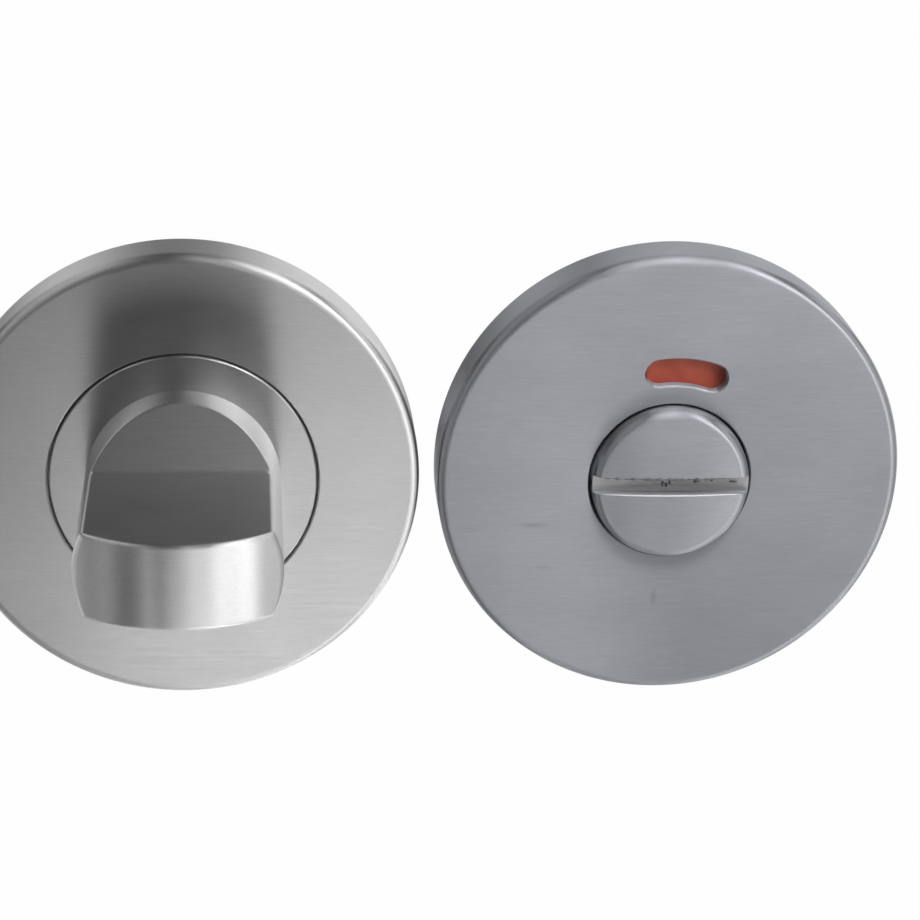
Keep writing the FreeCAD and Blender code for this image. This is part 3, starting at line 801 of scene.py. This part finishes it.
def makeSlotFloor():
    work = bmesh.new()
    rows = []
    for column in range(slotLook["floorColumns"] + 1):
        row = []
        for step in range(slotLook["floorRows"] + 1):
            z = discLook["slotHalf"] * slotLook["floorWidth"] * (2 * step / slotLook["floorRows"] - 1)
            halfLength = math.sqrt((discRadius * slotLook["floorLength"]) ** 2 - z ** 2)
            x = halfLength * (2 * column / slotLook["floorColumns"] - 1)
            waves = bumpiness(x, z, *slotLook["floorWaves"], layer=3)
            rough = waves + slotLook["gritShare"] * bumpiness(x, z, *slotLook["floorGrit"], layer=9)
            height = slotLook["floorMean"] + slotLook["floorSwing"] * rough
            y = slotFloor - slotLook["floorRelief"] * height
            row.append(work.verts.new((releaseX + x, y, z)))
        rows.append(row)
    skin(work, rows)
    # painted light: the floor's raised tint lifts it out of the shade of the slot's walls
    slotPiece("slotFloor", work, "milledSteelPaintedLight", milledPaintedLightLook)


def tearsAt(x, tears, layer):
    height, pitch = tears
    return height * bumpiness(x, 0, pitch, 1, layer)


def addLip(work, lip):
    rows = []
    for step in range(slotLook["lipSteps"] + 1):
        share = step / slotLook["lipSteps"]
        x = lip["start"] + (lip["end"] - lip["start"]) * share
        tears = tearsAt(x, slotLook["longTears"], layer=5) + tearsAt(x, slotLook["shortTears"], layer=4)
        thickness = max(slotLook["lipLeast"], slotLook["lipMean"] + lip["tears"] * tears)
        radius = lip["radius"] * thickness * math.sin(math.pi * share) ** slotLook["lipTaper"]
        ring = []
        for side in range(slotLook["lipSides"]):
            angle = side / slotLook["lipSides"] * math.tau
            y = domeAt(x) + slotLook["lipSink"] + radius * math.cos(angle)
            z = lip["edge"] * (discLook["slotHalf"] - slotLook["lipInset"])
            z += radius * slotLook["lipStretch"] * math.sin(angle)
            ring.append(work.verts.new((releaseX + x, y, z)))
        rows.append(ring)
    skin(work, rows, closed=True)
    bmesh.ops.recalc_face_normals(work, faces=work.faces)


def addCrumb(work, along, across, sizeX, sizeZ, sizeY):
    onLip = across > slotLook["onLip"]
    y = domeAt(along * mm) + slotLook["crumbRise"] if onLip else slotFloor
    shift = Vector((along * slotLook["crumbShift"], across, 0))
    for vert in bmesh.ops.create_icosphere(work, subdivisions=3, radius=1)["verts"]:
        bulge = slotLook["crumbLumps"] * noise.noise(vert.co * slotLook["crumbPitch"] + shift)
        lump = vert.co * (1 + bulge)
        vert.co = Vector((releaseX, y, 0)) + mm * Vector(
            (along + lump.x * sizeX, lump.y * sizeY, across + lump.z * sizeZ)
        )


def makeSlotBurr():
    work = bmesh.new()
    addLip(work, slotLook["tornLip"])
    for crumb in slotLook["crumbs"]:
        addCrumb(work, *crumb)
    # painted shade: the torn lip and crumbs are darkened for the shade along the slot's upper wall
    slotPiece("slotBurr", work, "burrSteelPaintedShade", burrPaintedShadeLook)


def makeSlotLip():
    work = bmesh.new()
    addLip(work, slotLook["cleanLip"])
    # painted highlight: the clean lip is brightened for the light line along the slot's lower edge
    slotPiece("slotLip", work, "lowerLipSteelPaintedHighlight", lowerLipPaintedHighlightLook)


makeSlotFloor()
makeSlotBurr()
makeSlotLip()


# studio: pale floor, white behind and soft boxes around

floorLook = {
    "drop": 200 * mm,
    "front": -120 * mm,
    "back": 4,
    "half": 3,
    "color": (0.8, 0.8, 0.8, 1),
    "rough": 0.9,
    "glow": 0.985,  # share of plain white where the camera or the metal sees the floor
}

floorMesh = bpy.data.meshes.new("floor")
floorHeight = cadBounds[0][2] - floorLook["drop"]
floorMesh.from_pydata(
    [
        (-floorLook["half"], floorLook["front"], floorHeight),
        (floorLook["half"], floorLook["front"], floorHeight),
        (floorLook["half"], floorLook["back"], floorHeight),
        (-floorLook["half"], floorLook["back"], floorHeight),
    ],
    [],
    [(0, 1, 2, 3)],
)
floor = bpy.data.objects.new("floor", floorMesh)
bpy.context.scene.collection.objects.link(floor)

floorMat, floorTree, floorShader = newMaterial("paleFloor")
floorShader.inputs["Base Color"].default_value = floorLook["color"]
floorShader.inputs["Roughness"].default_value = floorLook["rough"]
floorPath = addNode(floorTree, "LightPath").outputs
floorSeen = mathNode(floorTree, "ADD", floorPath["Is Camera Ray"], floorPath["Is Glossy Ray"])
floorSeen = mathNode(floorTree, "ADD", floorSeen, floorPath["Is Transmission Ray"], clamp=True)
glow = addNode(floorTree, "Emission", {"Color": (1, 1, 1, 1), "Strength": 1})
glowShare = mathNode(floorTree, "MULTIPLY", floorSeen, floorLook["glow"])
floorParts = {0: glowShare, 1: floorShader.outputs["BSDF"], 2: glow.outputs["Emission"]}
blend = addNode(floorTree, "MixShader", floorParts)
floorOut = next(node for node in floorTree.nodes if node.type == "OUTPUT_MATERIAL")
floorTree.links.new(blend.outputs["Shader"], floorOut.inputs["Surface"])
floorMesh.materials.append(floorMat)

# soft boxes around the object: place across, from -1 at far left to 1 at far right, and tilt in degrees,
# from 0 straight before the object to 90 overhead; then how far each fades both ways, and brightness
softBoxes = {
    "lowLeft": (-0.36, -45, 0.1, 25, 0.9),
    "lowRight": (0.34, -70, 0.22, 20, 8.6),
    "midRight": (0.45, -40, 0.14, 20, 1.5),
    "right": (0.8, -15, 0.1, 20, 3.1),
    "rightNear": (0.65, 10, 0.1, 20, 1.4),
    "rightFar": (0.95, 10, 0.1, 20, 1.7),
    "left": (-0.82, 10, 0.1, 20, 1.1),
    "highMiddle": (0.12, 40, 0.1, 20, 1.9),
    "highRight": (0.5, 40, 0.1, 20, 3.4),
    "highFarRight": (0.95, 40, 0.1, 20, 4.2),
    "highLeft": (-0.55, 62, 0.26, 18, 1.4),
    "backRight": (0.9, -120, 0.15, 25, 1.2),
    "overhead": (0, 70, 0.28, 25, 0.1),
    "overheadLeft": (-0.68, 100, 0.34, 25, 1.1),
}


def softBox(tree, across, tilt, box):
    x, degrees, reachAcross, reachTilt, level = box
    scaledX = mathNode(tree, "DIVIDE", across, reachAcross)
    scaledTilt = mathNode(tree, "DIVIDE", tilt, math.radians(reachTilt))
    place = addNode(tree, "CombineXYZ", {"X": scaledX, "Y": scaledTilt}).outputs["Vector"]
    spot = softSpot(tree, place, (x / reachAcross, degrees / reachTilt, 0))
    return mathNode(tree, "MULTIPLY", spot, level)


world = bpy.data.worlds.new("studio")
bpy.context.scene.world = world
world.use_nodes = True
worldTree = world.node_tree
worldTree.nodes.clear()
direction = addNode(worldTree, "TexCoord").outputs["Generated"]
split = addNode(worldTree, "SeparateXYZ", {"Vector": direction}).outputs
tilt = mathNode(worldTree, "ARCTAN2", split["Z"], mathNode(worldTree, "MULTIPLY", split["Y"], -1))
light = 0
for box in softBoxes.values():
    light = mathNode(worldTree, "ADD", light, softBox(worldTree, split["X"], tilt, box))

# the white backdrop, seen by the camera and, low behind the object, by the metal
backdropLook = {"Y": (0, 0.35), "Z": (0.7, 0.4), "X": (-0.85, -0.4)}  # where it fades in along each axis

behind = mapped(worldTree, split["Y"], *backdropLook["Y"], smooth=True)
for axis in ("Z", "X"):
    fade = mapped(worldTree, split[axis], *backdropLook[axis], smooth=True)
    behind = mathNode(worldTree, "MULTIPLY", behind, fade)
worldPath = addNode(worldTree, "LightPath").outputs
mirrorRays = (worldPath["Is Glossy Ray"], worldPath["Is Transmission Ray"])
mirrored = mathNode(worldTree, "ADD", *mirrorRays, clamp=True)
mirrored = mathNode(worldTree, "MULTIPLY", mirrored, behind)
toWhite = mathNode(worldTree, "ADD", worldPath["Is Camera Ray"], mirrored, clamp=True)
tones = {"Fac": toWhite, "Color1": light, "Color2": (1, 1, 1, 1)}
surround = addNode(worldTree, "MixRGB", tones).outputs["Color"]
background = addNode(worldTree, "Background", {"Color": surround, "Strength": 1})
worldOut = worldTree.nodes.new("ShaderNodeOutputWorld")
worldTree.links.new(background.outputs["Background"], worldOut.inputs["Surface"])

# one lamp high to the right, two cards low before the turn and two above the release; power in watts
lampLook = {
    "keyLamp": {
        "place": (0.59, -0.53, 0.42),
        "aim": (0.03, 0, 0),
        "size": (0.2, 0.4),
        "power": 1.45,
        "spread": 180,
    },
    "lowCard": {"place": (-0.01, -0.13, -0.08), "aim": (-0.005, 0, -0.02), "power": 0.0046},
    "lowRightCard": {"place": (0.025, -0.13, -0.08), "aim": (0.0125, 0, -0.02), "power": 0.0037},
    "highCard": {
        "place": (0.082, -0.06, 0.11),
        "aim": (0.064, 0, 0.02),
        "size": (0.096, 0.05),
        "power": 0.0125,
    },
    "highLeftCard": {
        "place": (0.032, -0.052, 0.11),
        "aim": (0.054, -0.008, 0.004),
        "size": (0.035, 0.03),
        "power": 0.0006,
        "spread": 30,
    },
}
cardLook = {"size": (0.09, 0.05), "spread": 68.75}  # of cards that state no other


def addLamp(name, look):
    lampData = bpy.data.lights.new(name, "AREA")
    lampData.shape = "RECTANGLE"
    lampData.size, lampData.size_y = look["size"]
    lampData.energy = look["power"]
    lampData.spread = math.radians(look["spread"])
    lamp = bpy.data.objects.new(name, lampData)
    lamp.location = look["place"]
    toward = Vector(look["aim"]) - lamp.location
    lamp.rotation_euler = toward.to_track_quat("-Z", "Y").to_euler()
    bpy.context.scene.collection.objects.link(lamp)


for name, look in lampLook.items():
    addLamp(name, {**cardLook, **look})
print("studio set:", len(lampLook), "lamps")


# camera at the photograph's place

cameraLook = {
    "place": (0.0069, -0.26, 0.1048),
    "yaw": 5.29,
    "pitch": 21.85,
    "roll": 1.83,
    "lens": 97.3,
    "near": 10 * mm,
}

cameraData = bpy.data.cameras.new("camera")
cameraData.lens = cameraLook["lens"]
cameraData.clip_start = cameraLook["near"]
camera = bpy.data.objects.new("camera", cameraData)
bpy.context.scene.collection.objects.link(camera)
bpy.context.scene.camera = camera
camera.location = cameraLook["place"]
camera.rotation_euler = (math.radians(90 - cameraLook["pitch"]), 0, math.radians(-cameraLook["yaw"]))
camera.rotation_euler.rotate_axis("Z", math.radians(cameraLook["roll"]))
bpy.context.scene.view_settings.view_transform = "Standard"
print("camera set")
